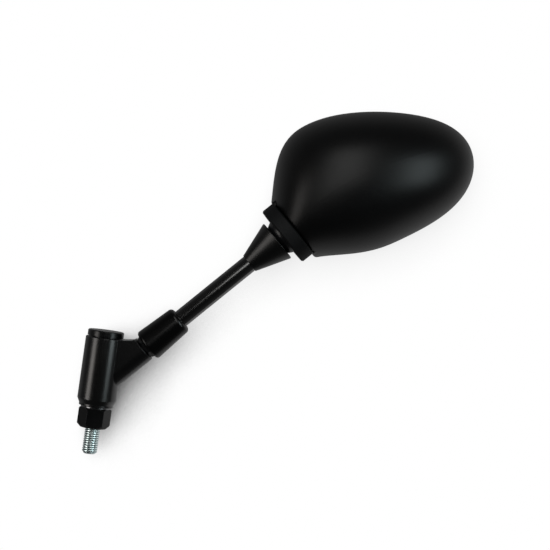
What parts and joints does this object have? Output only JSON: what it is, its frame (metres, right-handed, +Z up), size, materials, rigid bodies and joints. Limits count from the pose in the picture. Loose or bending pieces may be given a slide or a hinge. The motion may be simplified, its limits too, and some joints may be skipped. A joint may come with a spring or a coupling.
{
  "type": "motorcycle mirror",
  "caption": "Motorcycle rear-view mirror: egg-shaped head on a ball joint, round stem and a break-away barrel with a threaded fixing stud.",
  "frame": {"origin": "on the stud's axis, in the hexagon's lower face, which seats on the lever bracket", "axes": "+Z up the stud's axis; the stem leans towards +X in the XZ plane; the glass faces +Y"},
  "size_m": [0.2442, 0.0555, 0.2576],
  "materials": {
    "zinc_steel": "bright zinc plate",
    "black_steel": "black finish, satin",
    "black_acetal": "black acetal",
    "plain_steel": "plain steel",
    "spring_steel": "oiled spring steel",
    "black_casting": "satin black paint on a casting",
    "cap_plastic": "black moulding",
    "black_enamel": "gloss black enamel",
    "cover_rubber": "black rubber",
    "cone_plastic": "satin black moulding",
    "ball_metal": "black plated ball",
    "ring_plastic": "satin black moulding",
    "housing_plastic": "fine matte grain",
    "mirror_glass": "silvered convex glass",
    "gasket_foam": "closed-cell foam"
  },
  "bodies": {
    "base": {"mounting_stud": "zinc_steel", "hex_base": "black_steel", "friction_washer": "plain_steel", "lower_spring_washer": "plain_steel", "breakaway_spring": "spring_steel", "upper_spring_washer": "plain_steel", "spring_nut": "plain_steel"},
    "arm": {"holder": "black_casting", "barrel_cap": "cap_plastic", "stem": "black_enamel", "stem_lock_nut": "black_steel", "lock_nut_cover": "cover_rubber", "stem_cone": "cone_plastic", "pivot_ball": "ball_metal"},
    "lower_seat": {"lower_ball_seat": "black_acetal"},
    "upper_seat": {"upper_ball_seat": "black_acetal"},
    "head": {"pivot_ring": "ring_plastic", "pressure_cup": "black_acetal", "pressure_spring": "spring_steel", "clamp_plate": "plain_steel", "clamp_screws": "plain_steel", "housing": "housing_plastic", "mirror_glass": "mirror_glass", "glass_gasket": "gasket_foam"}
  },
  "joints": [
    {"name": "barrel_swivel", "type": "hinge", "parent": "base", "child": "arm", "pos_m": [0, 0, 0], "axis": [0, 0, 1], "range_deg": [-60, 60]},
    {"name": "head_turn", "type": "hinge", "parent": "arm", "child": "lower_seat", "pos_m": [0.11083, 0, 0.14724], "axis": [0.682, 0, 0.7314], "range_deg": [-45, 45]},
    {"name": "head_tilt", "type": "hinge", "parent": "lower_seat", "child": "upper_seat", "pos_m": [0.11083, 0, 0.14724], "axis": [0, 1, 0], "range_deg": [-10, 10]},
    {"name": "head_pan", "type": "hinge", "parent": "upper_seat", "child": "head", "pos_m": [0.11083, 0, 0.14724], "axis": [-0.7314, 0, 0.682], "range_deg": [-10, 10]}
  ]
}
